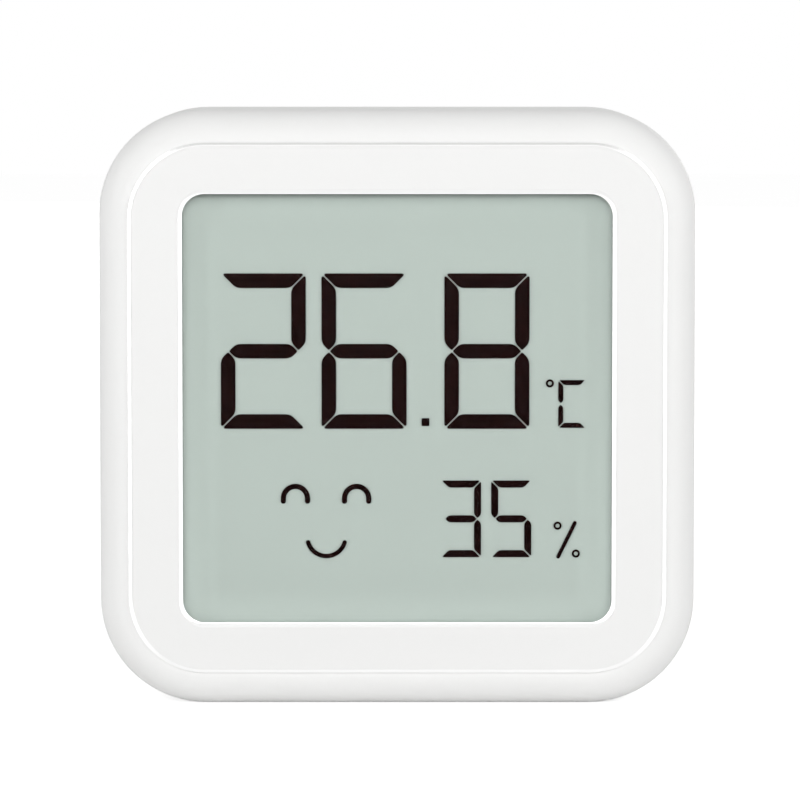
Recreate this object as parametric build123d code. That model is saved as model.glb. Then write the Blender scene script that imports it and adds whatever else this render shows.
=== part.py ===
"""Indoor temperature and humidity sensor: a rounded-square wall or desk unit with a segment display.

Millimetres. +Z is up, the display faces -Y, and the origin is the middle of the underside. Outlines are
drawn as seen from the front, about the middle of the case, and a depth is measured back from the flat face.
"""

import os

from build123d import *

# Case
body_width = 43.0
body_height = 43.0
body_corner_radius = 7.6
front_edge_radius = 2.1
rear_edge_radius = 1.4
side_wall = 2.1
face_wall = 1.5
face_lift = 0.35
face_bevel = 0.3
face_side_ledge = 0.05
face_end_ledge = 0.28
overrun = 1.0

# Window opening in the face; its width and height follow from what stands round the display
window_corner_radius = 1.6
window_bevel = 0.3
window_lip = 0.4

# Display stack, front to back
lens_tape_thickness = 0.05
lens_thickness = 0.35
lens_clearance = 0.1
gasket_thickness = 0.1
frame_setback = 0.3
polariser_thickness = 0.12
polariser_setback = 0.25
polariser_bond = 0.02
glass_thickness = 0.4
liquid_gap = 0.1
mark_setback = 0.02
seal_width = 0.5
display_side_margin = 0.9
display_end_margin = 1.05
display_end_clearance = 0.7
contact_ledge = 1.7
display_rib_thickness = 0.8

# Display frame and the elastomer strip that joins display and board
display_frame_thickness = 2.12
display_frame_bar = 3.0
display_frame_foot = 0.5
strip_thickness = 1.1
strip_end_inset = 3.0
strip_clearance = 0.1
strip_pad_width = 0.5
strip_pad_pitch = 1.0

# Marks on the display, as shares of the window's width (or of its height, for places up and down)
large_digit_width_share = 0.1984
large_digit_height_share = 0.3629
large_digit_stroke_share = 0.0340
small_digit_width_share = 0.0938
small_digit_height_share = 0.1801
small_digit_stroke_share = 0.0165
unit_letter_width_share = 0.0641
unit_letter_height_share = 0.1117
unit_letter_stroke_share = 0.0116
segment_gap_share = 0.0040
decimal_point_share = 0.0182
large_digit_centre_shares = {"2": (-0.3124, 0.1323), "6": (-0.0775, 0.1323), "8": (0.2090, 0.1323)}
small_digit_centre_shares = {"3": (0.1490, -0.2606), "5": (0.2664, -0.2606)}
decimal_point_centre_share = (0.0658, -0.0336)
unit_letter_centre_share = (0.4078, 0.0089)
degree_ring_centre_share = (0.3560, 0.0570)
ring_diameter_share = 0.0190
ring_stroke_share = 0.0048
percent_ring_centre_shares = ((0.3749, -0.2767), (0.4178, -0.3423))
percent_slash_end_shares = ((0.4153, -0.2703), (0.3764, -0.3494))
percent_stroke_share = 0.0088
eye_centre_shares = (-0.2381, -0.0951)
eye_top_share = -0.1844
eye_radius_share = 0.0283
eye_leg_share = 0.0062
eye_stroke_share = 0.0122
mouth_centre_share = -0.1658
mouth_end_share = -0.3160
mouth_bottom_share = -0.3482
mouth_half_width_share = 0.0427
mouth_stroke_share = 0.0103
blunt_corner_share = 0.8
sharp_corner_share = 0.1

# Segments in use in each digit, by the usual letters
lit_segments = {"2": "abged", "3": "abgcd", "5": "afgcd", "6": "afgecd", "8": "abcdefg", "C": "afed"}

# Screw bosses inside the case
boss_diameter = 2.5
boss_inset = 1.7
boss_spacing = 24.0
boss_web = 1.2
screw_diameter = 1.4
screw_fit = 0.02
screw_bite = 2.0
screw_hole_clearance = 0.15
screw_head_diameter = 2.2
screw_head_height = 0.8
screw_head_edge = 0.2
screw_recess_width = 0.35
screw_recess_depth = 0.4

# Main board and what is soldered to it
board_thickness = 1.0
board_clearance = 0.2
pad_thickness = 0.05
board_slit_width = 0.8
board_slit_length = 4.6
board_slit_gap = 0.9
radio_chip_size = 5.0
radio_chip_height = 0.8
driver_size = 4.4
driver_height = 1.0
driver_lead_width = 0.22
driver_lead_pitch = 0.5
driver_lead_reach = 0.9
driver_lead_thickness = 0.15
driver_leads_per_side = 8
crystal_length = 3.2
crystal_width = 2.5
crystal_height = 0.7
capacitor_length = 1.0
capacitor_width = 0.5
capacitor_height = 0.5
resistor_length = 1.0
resistor_width = 0.5
resistor_height = 0.35
chip_end = 0.22
bulk_capacitor_length = 3.2
bulk_capacitor_width = 1.6
bulk_capacitor_height = 1.2
antenna_track = 0.4
antenna_gap = 0.4
antenna_height = 1.6
antenna_turns = 5
test_pad_diameter = 1.2
sensor_size = 2.5
sensor_height = 0.8
sensor_port_diameter = 1.3
sensor_port_depth = 0.3
sensor_filter_thickness = 0.1
sensor_filter_margin = 0.15
sensor_side_inset = 3.4

# Places on the board: gaps between neighbours, and shares of the board's half width and half height
part_gap = 0.5
driver_gap = 1.2
antenna_edge_inset = 1.7
radio_place_share = 0.08
row_pitch = 1.7
row_capacitors = 5
row_resistors = 3
bulk_capacitor_place_share = (0.80, 0.14)
pull_up_place_share = (-0.74, 0.30)
test_pad_inset = 2.7
test_pad_pitch = 2.9
test_pad_count = 5

# Pairing button and its tact switch
button_diameter = 3.8
button_clearance = 0.2
button_side_inset = 9.0
button_top_inset = 9.0
button_recess = 0.2
button_edge = 0.2
button_dish_depth = 0.15
button_dish_margin = 0.5
button_flange_width = 0.7
button_flange_thickness = 0.6
button_flange_gap = 0.05
button_stem_diameter = 2.2
button_travel = 0.25
switch_size = 4.5
switch_body_height = 1.3
switch_cover_thickness = 0.2
switch_cover_setback = 0.2
plunger_diameter = 1.8
plunger_rise = 0.4
plunger_clearance = 0.05
plunger_root = 0.6

# Battery tray
tray_plate = 1.0
tray_wall = 0.9
tray_cover_gap = 0.6
well_wall = 0.9
well_floor = 0.8
well_ledge = 2.7
well_drop = 3.0
well_lead_in = 0.3
tray_mark_size = 2.4
tray_mark_stroke = 0.5
tray_mark_rise = 0.15
tray_mark_gap = 1.0
pillar_diameter = 3.6
pillar_floor = 1.2
pillar_clearance = 0.1
tray_air_length = 7.0

# Coin cell, of the standard 20 mm by 3.2 mm size
cell_diameter = 20.0
cell_thickness = 3.2
cell_clearance = 0.3
cell_head_room = 0.7
cell_floor_gap = 0.05
cell_metal = 0.25
cell_cap_margin = 0.45
cell_cap_step = 0.2
cell_seal_width = 0.7
cell_edge_radius = 0.4
cell_filling_margin = 1.0
cell_mark_size = 4.6
cell_mark_stroke = 0.9
cell_mark_depth = 0.08
separator_thickness = 0.1
cathode_share = 0.6

# Battery contacts
contact_room = 2.2
contact_thickness = 0.25
contact_width = 4.0
contact_gap = 0.1
contact_foot = 2.6
contact_rise = 1.6
contact_lead_in = 0.6
contact_slack = 0.3
leaf_foot = 3.0
leaf_reach = 4.5
leaf_tip = 1.6
leaf_tip_drop = 0.5

# Back cover
cover_thickness = 1.2
cover_rim = 1.7
cover_gap = 0.15
cover_edge = 0.2
finger_width = 5.0
finger_thickness = 0.9
finger_length = 3.0
finger_gap = 0.35
finger_rise = 4.0
finger_spread = 17.0
finger_room = 0.3
snap_bump = 0.3
snap_setback = 0.6
snap_clearance = 0.1
cell_rib_diameter = 13.0
cell_rib_wall = 0.8
cell_rib_gap = 0.05
notch_width = 7.0
notch_reach = 1.0
notch_depth = 0.6

# Air slots in the left side wall
vent_width = 0.9
vent_length = 4.2
vent_bevel = 0.15
vent_pitch = 1.7
vent_count = 5
vent_drop = 5.9

# Sizes that follow from these
face_width = body_width - 2 * (front_edge_radius + face_side_ledge)
face_height = body_height - 2 * (front_edge_radius + face_end_ledge)
face_corner_radius = body_corner_radius - front_edge_radius
cavity_half_width = body_width / 2 - side_wall
cavity_half_height = body_height / 2 - side_wall
cavity_corner_radius = body_corner_radius - side_wall
boss_x = cavity_half_width - boss_inset
boss_z = boss_spacing / 2
glass_half_width = boss_x - boss_diameter / 2 - lens_clearance
glass_foot = cavity_half_height - display_end_clearance - display_frame_foot
glass_half_height = glass_foot - contact_ledge
window_width = 2 * (glass_half_width - display_side_margin)
window_height = 2 * (glass_half_height - display_end_margin)

lens_tape_front = window_lip
lens_front = lens_tape_front + lens_tape_thickness
gasket_front = lens_front + lens_thickness
front_polariser_front = gasket_front + gasket_thickness
front_glass_front = front_polariser_front + polariser_thickness + polariser_bond
cell_layer_front = front_glass_front + glass_thickness
rear_glass_front = cell_layer_front + liquid_gap
rear_polariser_front = rear_glass_front + glass_thickness + polariser_bond
display_frame_front = rear_polariser_front + polariser_thickness
board_front = display_frame_front + display_frame_thickness
board_back = board_front + board_thickness
cell_front = board_back + contact_room
cell_back = cell_front + cell_thickness
cover_front = cell_back + cell_head_room
body_depth = cover_front + cover_thickness
tray_back = cover_front - tray_cover_gap
tray_plate_front = tray_back - tray_plate
well_floor_back = cell_front - cell_floor_gap

board_half_width = cavity_half_width - board_clearance
board_half_height = cavity_half_height - board_clearance
board_corner_radius = cavity_corner_radius - board_clearance
strip_z = -(glass_half_height + contact_ledge / 2)
strip_half_length = glass_half_width - strip_end_inset
plunger_top = board_back + switch_body_height + switch_cover_thickness + plunger_rise
cell_seal_radius = cell_diameter / 2 - cell_metal
cell_skirt_radius = cell_seal_radius - cell_seal_width
cell_filling_radius = cell_skirt_radius - cell_filling_margin
cell_filling_front = cell_front + cell_cap_step + cell_metal
cell_filling_back = cell_back - cell_metal
cathode_front = cell_filling_back - cathode_share * (cell_filling_back - cell_filling_front)
well_radius = cell_diameter / 2 + cell_clearance
well_outer_radius = well_radius + well_wall
pillar_seat = board_back + pillar_floor
button_x = button_side_inset - body_width / 2
button_z = body_height / 2 - button_top_inset
sensor_x = sensor_side_inset - board_half_width
antenna_pitch = antenna_track + antenna_gap
antenna_length = 2 * antenna_turns * antenna_pitch + antenna_track
antenna_top = board_half_height - antenna_edge_inset
antenna_foot = antenna_top - antenna_height
radio_x = radio_place_share * board_half_width
radio_z = antenna_foot - part_gap - radio_chip_size / 2
crystal_x = radio_x - radio_chip_size / 2 - part_gap - crystal_length / 2
driver_x = radio_x + radio_chip_size / 2 + driver_gap + driver_lead_reach + driver_size / 2
finger_outer_x = cavity_half_width - finger_gap
finger_outer_z = cavity_half_height - finger_gap
snap_depth = cover_front - finger_length + snap_setback


def at_depth(depth):
    """The plane that lies this far behind the flat face, seen from the front."""
    return Plane(
        origin=(0, depth - body_depth / 2, body_height / 2),
        x_dir=(1, 0, 0),
        z_dir=(0, -1, 0),
    )


def slab(outline, front, back):
    """An outline made solid from one depth to another."""
    return extrude(at_depth(front) * outline, amount=back - front, dir=(0, 1, 0))


def disc(radius, front, back, x=0, z=0):
    """A round slab about a point of the outline."""
    return slab(Pos(x, z) * Circle(radius), front, back)


def ring(outer_radius, inner_radius, x=0, z=0):
    """A flat ring about a point of the outline."""
    return Pos(x, z) * (Circle(outer_radius) - Circle(inner_radius))


def band(low, high):
    """A rectangle between two corners of the outline."""
    centre = Pos((low[0] + high[0]) / 2, (low[1] + high[1]) / 2)
    return centre * Rectangle(high[0] - low[0], high[1] - low[1])


def group(solids):
    """Separate like pieces that share one node."""
    return Compound(children=list(solids))


def board_place(share):
    """A place on the main board, from its shares of the board's half width and half height."""
    return (share[0] * board_half_width, share[1] * board_half_height)


def view_place(share):
    """A place on the display, from its shares of the window's width and height."""
    return (share[0] * window_width, share[1] * window_height)


def corners(x, z):
    """The four points that mirror one another about the middle."""
    return [(sx * x, sz * z) for sx in (-1, 1) for sz in (-1, 1)]


def finger_places():
    """Where the cover's snap fingers stand: point on the outside of the finger, and its outward direction."""
    sides = [(sx * finger_outer_x, finger_rise, sx, 0) for sx in (-1, 1)]
    ends = [(sx * finger_spread / 2, sz * finger_outer_z, 0, sz) for sx in (-1, 1) for sz in (-1, 1)]
    return sides + ends


def finger_band(place, inward, outward, side_room=0):
    """A rectangle on a snap finger, that reaches inward and outward of the finger's outer face."""
    x, z, out_x, out_z = place
    half = finger_width / 2 + side_room
    first = (x - out_x * inward - out_z * half, z - out_z * inward - out_x * half)
    second = (x + out_x * outward + out_z * half, z + out_z * outward + out_x * half)
    low = (min(first[0], second[0]), min(first[1], second[1]))
    high = (max(first[0], second[0]), max(first[1], second[1]))
    return band(low, high)


def case_block():
    """The solid outer form of the case: rounded edges and the raised flat face."""
    outline = RectangleRounded(body_width, body_height, body_corner_radius)
    block = slab(outline, face_lift, body_depth)
    block = fillet(block.edges().group_by(Axis.Y)[0], front_edge_radius)
    block = fillet(block.edges().group_by(Axis.Y)[-1], rear_edge_radius)
    face = slab(RectangleRounded(face_width, face_height, face_corner_radius), 0, face_wall)
    face = chamfer(face.edges().group_by(Axis.Y)[0], face_bevel)
    return block + face


def window_cut():
    """The window opening with its bevel, and the pocket that holds the clear window and the display."""
    opening = slab(
        RectangleRounded(window_width, window_height, window_corner_radius), -overrun, window_lip + overrun
    )
    mouth = RectangleRounded(
        window_width + 2 * window_bevel,
        window_height + 2 * window_bevel,
        window_corner_radius + window_bevel,
    )
    flare = extrude(at_depth(0) * mouth, amount=-window_bevel, taper=45)
    pocket = slab(
        Rectangle(2 * (glass_half_width + lens_clearance), 2 * (glass_half_height + lens_clearance)),
        window_lip,
        face_wall + overrun,
    )
    foot = band(
        (-glass_half_width - lens_clearance, -glass_foot - lens_clearance), (glass_half_width + lens_clearance, 0)
    )
    return opening + flare + pocket + slab(foot, front_polariser_front, face_wall + overrun)


def cavity_cut():
    """The hollow of the case and the wider recess that the back cover drops into."""
    hollow = slab(
        RectangleRounded(2 * cavity_half_width, 2 * cavity_half_height, cavity_corner_radius),
        face_wall,
        body_depth + overrun,
    )
    recess = slab(
        RectangleRounded(
            body_width - 2 * cover_rim, body_height - 2 * cover_rim, body_corner_radius - cover_rim
        ),
        cover_front,
        body_depth + overrun,
    )
    return hollow + recess


def vent_cuts():
    """The air slots through the left side wall, level with the sensor, each with a bevelled mouth."""
    wall_plane = Plane(
        origin=(-body_width / 2, (board_back + tray_plate_front - body_depth) / 2, body_height / 2),
        x_dir=(0, 1, 0),
        z_dir=(1, 0, 0),
    )
    cuts = []
    for index in range(vent_count):
        place = Pos(0, (index - (vent_count - 1) / 2) * vent_pitch - vent_drop)
        slot = wall_plane * place * SlotOverall(vent_length, vent_width)
        mouth = wall_plane * place * SlotOverall(
            vent_length + 2 * vent_bevel, vent_width + 2 * vent_bevel
        )
        cuts.append(extrude(slot, amount=side_wall + overrun))
        cuts.append(extrude(mouth, amount=vent_bevel, taper=45))
    return cuts


def front_shell():
    """White tub: face, rounded edge and side walls, with its bosses and the grooves for the cover."""
    shell = case_block() - window_cut() - cavity_cut()
    for x, z in corners(boss_x, boss_z):
        side = 1 if x > 0 else -1
        web = band(
            (min(x, side * (cavity_half_width + boss_web / 2)), z - boss_web / 2),
            (max(x, side * (cavity_half_width + boss_web / 2)), z + boss_web / 2),
        )
        shell += slab(Pos(x, z) * Circle(boss_diameter / 2) + web, face_wall - overrun / 2, board_front)
    rib_foot = glass_half_height + lens_clearance
    rib = band((-glass_half_width / 2, rib_foot), (glass_half_width / 2, rib_foot + display_rib_thickness))
    shell += slab(rib, face_wall - overrun / 2, display_frame_front)
    for x, z in corners(boss_x, boss_z):
        shell -= disc(screw_diameter / 2 + screw_fit, board_front - screw_bite, board_front + overrun, x, z)
    for place in finger_places():
        groove = finger_band(place, -finger_gap / 2, finger_gap + snap_bump, finger_room)
        half = snap_bump + snap_clearance
        shell -= slab(groove, snap_depth - half, snap_depth + half)
    return shell - coin_notch() - vent_cuts()


def coin_notch():
    """The notch in the bottom rim, where a coin's edge goes in under the back cover to lift it."""
    rim_z = body_height / 2 - cover_rim
    notch = band(
        (-notch_width / 2, -rim_z - notch_reach), (notch_width / 2, -cavity_half_height + finger_gap)
    )
    return slab(notch, cover_front - notch_depth, body_depth + overrun)


def window_frame():
    """The frame shape that the tape and the gasket share, set back from the window all round."""
    outer = Rectangle(2 * glass_half_width, 2 * glass_half_height)
    inner = RectangleRounded(
        window_width + 2 * frame_setback,
        window_height + 2 * frame_setback,
        window_corner_radius + frame_setback,
    )
    return outer - inner


def glass_outline(foot):
    """A display layer's outline, down to this far below the middle."""
    return band((-glass_half_width, -foot), (glass_half_width, glass_half_height))


def polariser(front):
    """A polarising film, a little smaller than the rear glass."""
    film = Rectangle(
        2 * (glass_half_width - polariser_setback), 2 * (glass_half_height - polariser_setback)
    )
    return slab(film, front, front + polariser_thickness)


def edge_seal():
    """The glued rim that closes the liquid crystal between the two glasses."""
    rim = glass_outline(glass_half_height) - Rectangle(
        2 * (glass_half_width - seal_width), 2 * (glass_half_height - seal_width)
    )
    return slab(rim, cell_layer_front, rear_glass_front)


def in_liquid(outline):
    """A dark mark in the liquid crystal layer, against the rear glass."""
    return slab(outline, cell_layer_front + mark_setback, rear_glass_front)


def mark_outline(points, blunt, sharp, stroke):
    """A segment's outline: points in order, with blunt or sharp rounded corners."""
    radii = [
        stroke * (sharp_corner_share if index in sharp else blunt) for index in range(len(points))
    ]
    return make_face(FilletPolyline(*points, radius=radii, close=True))


def seven_segments(width, height, stroke):
    """The seven segments of a digit about its middle, by letter, with mitred and rounded ends."""
    gap = segment_gap_share * window_width / 2
    right = width / 2
    top = height / 2
    half = stroke / 2
    blunt = blunt_corner_share
    top_bar = [
        (-right + gap, top),
        (right - gap, top),
        (right - stroke - gap, top - stroke),
        (-right + stroke + gap, top - stroke),
    ]
    upper_side = [
        (right, top - gap),
        (right, half + gap),
        (right - half, gap),
        (right - stroke, half + gap),
        (right - stroke, top - stroke - gap),
    ]
    middle_bar = [
        (-right + half + gap, 0),
        (-right + stroke + gap, half),
        (right - stroke - gap, half),
        (right - half - gap, 0),
        (right - stroke - gap, -half),
        (-right + stroke + gap, -half),
    ]
    a = mark_outline(top_bar, blunt, (0, 1), stroke)
    b = mark_outline(upper_side, blunt, (0, 2), stroke)
    g = mark_outline(middle_bar, blunt, (0, 3), stroke)
    upside_down = Rot(180, 0, 0)
    left_right = Rot(0, 180, 0)
    return {
        "a": a,
        "b": b,
        "c": upside_down * b,
        "d": upside_down * a,
        "e": upside_down * (left_right * b),
        "f": left_right * b,
        "g": g,
    }


def digit(sign, centre, width, height, stroke):
    """The segments that are dark in one digit or letter, as separate outlines."""
    segments = seven_segments(width, height, stroke)
    return [Pos(*centre) * segments[letter] for letter in lit_segments[sign]]


def mark_ring(centre_share):
    """One small ring, as in the degree and per cent marks."""
    x, z = view_place(centre_share)
    outer = ring_diameter_share * window_width / 2
    return ring(outer, outer - ring_stroke_share * window_width, x, z)


def temperature_digits():
    """The three large digits and the decimal point."""
    marks = []
    for sign, share in large_digit_centre_shares.items():
        marks += digit(
            sign,
            view_place(share),
            large_digit_width_share * window_width,
            large_digit_height_share * window_height,
            large_digit_stroke_share * window_width,
        )
    side = decimal_point_share * window_width
    point = RectangleRounded(side, side, side * sharp_corner_share)
    marks.append(Pos(*view_place(decimal_point_centre_share)) * point)
    return group(in_liquid(mark) for mark in marks)


def temperature_unit():
    """The degree ring and the letter C."""
    marks = digit(
        "C",
        view_place(unit_letter_centre_share),
        unit_letter_width_share * window_width,
        unit_letter_height_share * window_height,
        unit_letter_stroke_share * window_width,
    )
    marks.append(mark_ring(degree_ring_centre_share))
    return group(in_liquid(mark) for mark in marks)


def humidity_digits():
    """The two smaller digits."""
    marks = []
    for sign, share in small_digit_centre_shares.items():
        marks += digit(
            sign,
            view_place(share),
            small_digit_width_share * window_width,
            small_digit_height_share * window_height,
            small_digit_stroke_share * window_width,
        )
    return group(in_liquid(mark) for mark in marks)


def percent_sign():
    """Two rings and the slash between them."""
    ends = [view_place(share) for share in percent_slash_end_shares]
    slash = SlotArc(Line(*ends), percent_stroke_share * window_width)
    rings = [mark_ring(share) for share in percent_ring_centre_shares]
    return group(in_liquid(mark) for mark in [slash, *rings])


def eye_mark(centre_share):
    """One closed, smiling eye: a half ring on two short legs."""
    x, top = view_place((centre_share, eye_top_share))
    radius = eye_radius_share * window_width
    middle = top - radius
    foot = middle - eye_leg_share * window_height
    line = Wire(
        [
            Edge.make_line((x - radius, foot), (x - radius, middle)),
            Edge.make_three_point_arc((x - radius, middle), (x, top), (x + radius, middle)),
            Edge.make_line((x + radius, middle), (x + radius, foot)),
        ]
    )
    return SlotArc(line, eye_stroke_share * window_width)


def mouth_mark():
    """The smile: a shallow arc."""
    x, end = view_place((mouth_centre_share, mouth_end_share))
    bottom = mouth_bottom_share * window_height
    half = mouth_half_width_share * window_width
    line = ThreePointArc((x - half, end), (x, bottom), (x + half, end))
    return SlotArc(line, mouth_stroke_share * window_width)


def comfort_face():
    """The comfort sign: two eyes and a mouth."""
    marks = [eye_mark(share) for share in eye_centre_shares] + [mouth_mark()]
    return group(in_liquid(mark) for mark in marks)


def display_frame():
    """White frame behind the display, with a slot in its foot for the elastomer strip."""
    outer = glass_outline(glass_foot + display_frame_foot)
    inner = Rectangle(
        2 * (glass_half_width - display_frame_bar), 2 * (glass_half_height - display_frame_bar)
    )
    slot = Pos(0, strip_z) * Rectangle(
        2 * (strip_half_length + strip_clearance), strip_thickness + 2 * strip_clearance
    )
    return slab(outer - inner - slot, display_frame_front, board_front)


def connector_strip():
    """Elastomer strip from the display's contact ledge to the board's pads."""
    outline = Pos(0, strip_z) * Rectangle(2 * strip_half_length, strip_thickness)
    return slab(outline, cell_layer_front, board_front - pad_thickness)


def connector_pads():
    """Gold fingers on the board's front, under the elastomer strip."""
    count = int(2 * strip_half_length / strip_pad_pitch)
    pads = []
    for index in range(count):
        x = (index - (count - 1) / 2) * strip_pad_pitch
        pad = Pos(x, strip_z) * Rectangle(strip_pad_width, strip_thickness)
        pads.append(slab(pad, board_front - pad_thickness, board_front))
    return group(pads)


def board_outline():
    """The outline of the main board, which the tray's skirt follows."""
    return RectangleRounded(2 * board_half_width, 2 * board_half_height, board_corner_radius)


def main_board():
    """Circuit board with its screw holes and the slits that keep its warmth from the sensor."""
    board = slab(board_outline(), board_front, board_back)
    for x, z in corners(boss_x, boss_z):
        hole = screw_diameter / 2 + screw_hole_clearance
        board -= disc(hole, board_front - overrun, board_back + overrun, x, z)
    slit_x = sensor_x + sensor_size / 2 + board_slit_gap
    slit_end = slit_x + board_slit_width
    top = board_slit_length / 2 - vent_drop
    upright = band((slit_x, top - board_slit_length), (slit_end, top))
    cross = band((slit_end - board_slit_length, top), (slit_end, top + board_slit_width))
    return board - slab(upright + cross, board_front - overrun, board_back + overrun)


def on_board(outline, height, lift=0):
    """A piece that stands on the back of the main board."""
    return slab(outline, board_back + lift, board_back + lift + height)


def block_on_board(x, z, length, width, height):
    """A rectangular part soldered at a place on the board."""
    return on_board(Pos(x, z) * Rectangle(length, width), height)


def row_places(x, z, count):
    """Places in a row about a middle point."""
    return [(x + (index - (count - 1) / 2) * row_pitch, z) for index in range(count)]


def capacitor_places():
    """The chip capacitors: a row below the radio chip, and one beside the crystal."""
    row_z = radio_z - radio_chip_size / 2 - part_gap - capacitor_length / 2
    beside_x = crystal_x - crystal_length / 2 - part_gap - capacitor_width / 2
    beside_z = radio_z + part_gap / 2 + capacitor_length / 2
    return row_places(radio_x, row_z, row_capacitors) + [(beside_x, beside_z)]


def resistor_places():
    """The chip resistors: a row below the display driver, and one by the sensor's data lines."""
    row_z = radio_z - driver_size / 2 - part_gap - resistor_width / 2
    return row_places(driver_x, row_z, row_resistors) + [board_place(pull_up_place_share)]


def chip_body(place, length, width, height, turn=0):
    """The middle of a two-ended chip, without its soldered ends."""
    core = Pos(*place) * Rot(0, 0, turn) * Rectangle(length - 2 * chip_end, width)
    return on_board(core, height)


def chip_ends(place, length, width, height, turn=0):
    """The two metal ends of a chip."""
    ends = []
    for side in (-1, 1):
        end = Pos(side * (length - chip_end) / 2, 0) * Rectangle(chip_end, width)
        ends.append(on_board(Pos(*place) * Rot(0, 0, turn) * end, height))
    return ends


def chip_terminals():
    """The metal ends of every chip capacitor and chip resistor, and of the large capacitor."""
    ends = []
    for place in capacitor_places():
        ends += chip_ends(place, capacitor_length, capacitor_width, capacitor_height, 90)
    for place in resistor_places():
        ends += chip_ends(place, resistor_length, resistor_width, resistor_height)
    ends += chip_ends(
        board_place(bulk_capacitor_place_share),
        bulk_capacitor_length,
        bulk_capacitor_width,
        bulk_capacitor_height,
        90,
    )
    return group(ends)


def driver_leads():
    """Bent leads on both sides of the display driver."""
    shoulder = driver_height / 2
    leads = []
    for side in (-1, 1):
        inner = driver_x + side * driver_size / 2
        knee = inner + side * driver_lead_reach / 2
        toe = inner + side * driver_lead_reach
        for index in range(driver_leads_per_side):
            lead_z = radio_z + (index - (driver_leads_per_side - 1) / 2) * driver_lead_pitch
            low = lead_z - driver_lead_width / 2
            high = lead_z + driver_lead_width / 2
            arm = band((min(inner, knee), low), (max(inner, knee), high))
            foot = band((min(knee, toe), low), (max(knee, toe), high))
            drop_edge = knee - side * driver_lead_thickness
            drop = band((min(drop_edge, knee), low), (max(drop_edge, knee), high))
            lead = on_board(arm, driver_lead_thickness, shoulder - driver_lead_thickness)
            lead += on_board(drop, shoulder)
            lead += on_board(foot, driver_lead_thickness)
            leads.append(lead)
    return group(leads)


def printed_antenna():
    """Copper track that winds to and fro along the board's top edge."""
    start = radio_x - antenna_length / 2
    track = band((start, antenna_foot), (start + antenna_track, antenna_top))
    for index in range(2 * antenna_turns):
        left = start + index * antenna_pitch
        right = left + antenna_pitch
        bar_foot = antenna_foot if index % 2 else antenna_top - antenna_track
        track += band((left, bar_foot), (right + antenna_track, bar_foot + antenna_track))
        track += band((right, antenna_foot), (right + antenna_track, antenna_top))
    return on_board(track, pad_thickness)


def test_pads():
    """Round gold pads in a row along the board's bottom edge."""
    pads = []
    for index in range(test_pad_count):
        x = (index - (test_pad_count - 1) / 2) * test_pad_pitch
        pad = Pos(x, test_pad_inset - board_half_height) * Circle(test_pad_diameter / 2)
        pads.append(on_board(pad, pad_thickness))
    return group(pads)


def sensor_chip():
    """Temperature humidity sensor with the open port in its top."""
    place = Pos(sensor_x, -vent_drop)
    chip = on_board(place * Rectangle(sensor_size, sensor_size), sensor_height)
    port_floor = sensor_height - sensor_port_depth
    port = on_board(place * Circle(sensor_port_diameter / 2), sensor_port_depth + overrun, port_floor)
    return chip - port


def sensor_filter():
    """Thin membrane that keeps dust out of the sensor's port."""
    side = sensor_size - 2 * sensor_filter_margin
    return on_board(Pos(sensor_x, -vent_drop) * Rectangle(side, side), sensor_filter_thickness, sensor_height)


def switch_body():
    """Tact switch base, bored for its plunger."""
    base = on_board(Pos(button_x, button_z) * Rectangle(switch_size, switch_size), switch_body_height)
    bore_depth = plunger_root + button_travel + plunger_clearance
    bore = disc(
        plunger_diameter / 2 + plunger_clearance,
        board_back + switch_body_height - bore_depth,
        board_back + switch_body_height + overrun,
        button_x,
        button_z,
    )
    return base - bore


def switch_cover():
    """Sheet metal top of the tact switch."""
    side = switch_size - 2 * switch_cover_setback
    plate = Pos(button_x, button_z) * Rectangle(side, side)
    hole = Pos(button_x, button_z) * Circle(plunger_diameter / 2 + plunger_clearance)
    return on_board(plate - hole, switch_cover_thickness, switch_body_height)


def switch_plunger():
    """Round plunger of the tact switch."""
    root = board_back + switch_body_height - plunger_root
    return disc(plunger_diameter / 2, root, plunger_top, button_x, button_z)


def button_cap():
    """Pairing button: head in the cover's hole, flange behind the tray's plate, stem down to the switch."""
    head_back = body_depth - button_recess
    flange_back = tray_plate_front - button_flange_gap
    flange_front = flange_back - button_flange_thickness
    cap = disc(button_diameter / 2, flange_front, head_back, button_x, button_z)
    cap = chamfer(cap.edges().group_by(Axis.Y)[-1], button_edge)
    cap += disc(button_diameter / 2 + button_flange_width, flange_front, flange_back, button_x, button_z)
    cap += disc(button_stem_diameter / 2, plunger_top, flange_front, button_x, button_z)
    cap -= disc(
        button_diameter / 2 - button_dish_margin,
        head_back - button_dish_depth,
        head_back + overrun,
        button_x,
        button_z,
    )
    return cap


def contact_notch():
    """The space in the tray's well for the side contact."""
    half = contact_width / 2 + contact_slack
    inner = well_radius - well_wall
    return band((inner, -well_drop - half), (well_outer_radius + well_wall, -well_drop + half))


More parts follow.
